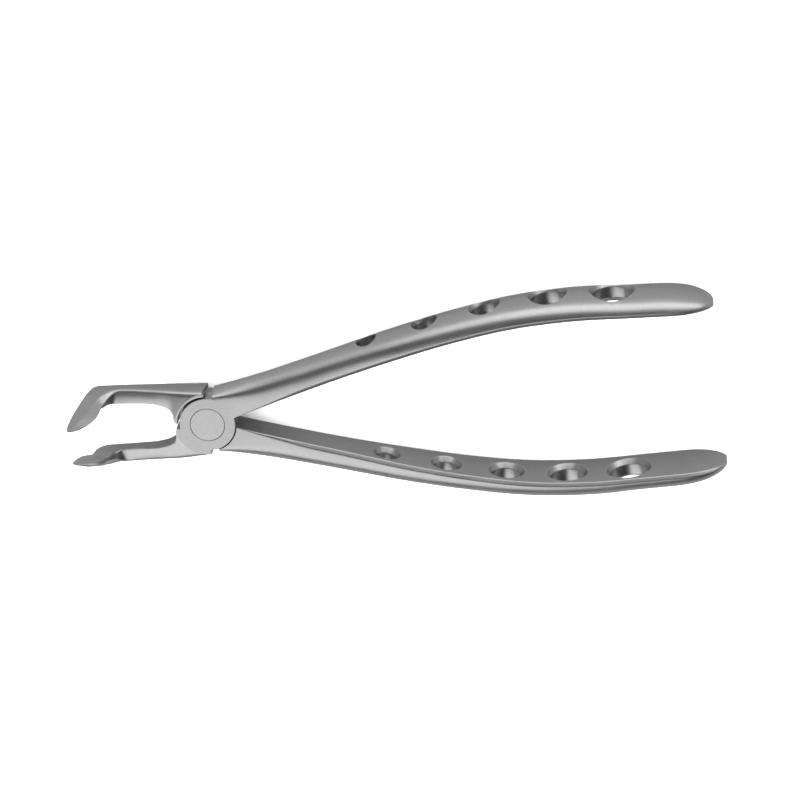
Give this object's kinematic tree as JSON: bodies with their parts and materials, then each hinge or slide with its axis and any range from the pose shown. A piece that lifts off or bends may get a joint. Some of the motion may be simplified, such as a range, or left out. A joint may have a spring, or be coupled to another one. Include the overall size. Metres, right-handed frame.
{
  "type": "dental extraction forceps",
  "caption": "Dental extraction forceps: two crossing steel halves with curved pointed beaks, long pierced handles and a flush pivot screw.",
  "frame": {"origin": "on the pivot axis, at the flat rear face of the joint", "axes": "+X along the middle line towards the handle ends, +Z along the pivot axis towards the face that the beaks curve to, +Y towards the front half's handle"},
  "size_m": [0.1726, 0.058, 0.0213],
  "materials": {
    "rear_half_steel": "satin, bead blasted",
    "front_half_steel": "satin, bead blasted",
    "screw_steel": "satin, ground flush with the joint"
  },
  "bodies": {
    "rear": {"rear_half": "rear_half_steel", "pivot_screw": "screw_steel"},
    "front": {"front_half": "front_half_steel"}
  },
  "joints": [
    {"name": "pivot", "type": "hinge", "parent": "rear", "child": "front", "pos_m": [0, 0, 0.0039], "axis": [0, 0, 1], "range_deg": [-10, 12]}
  ]
}
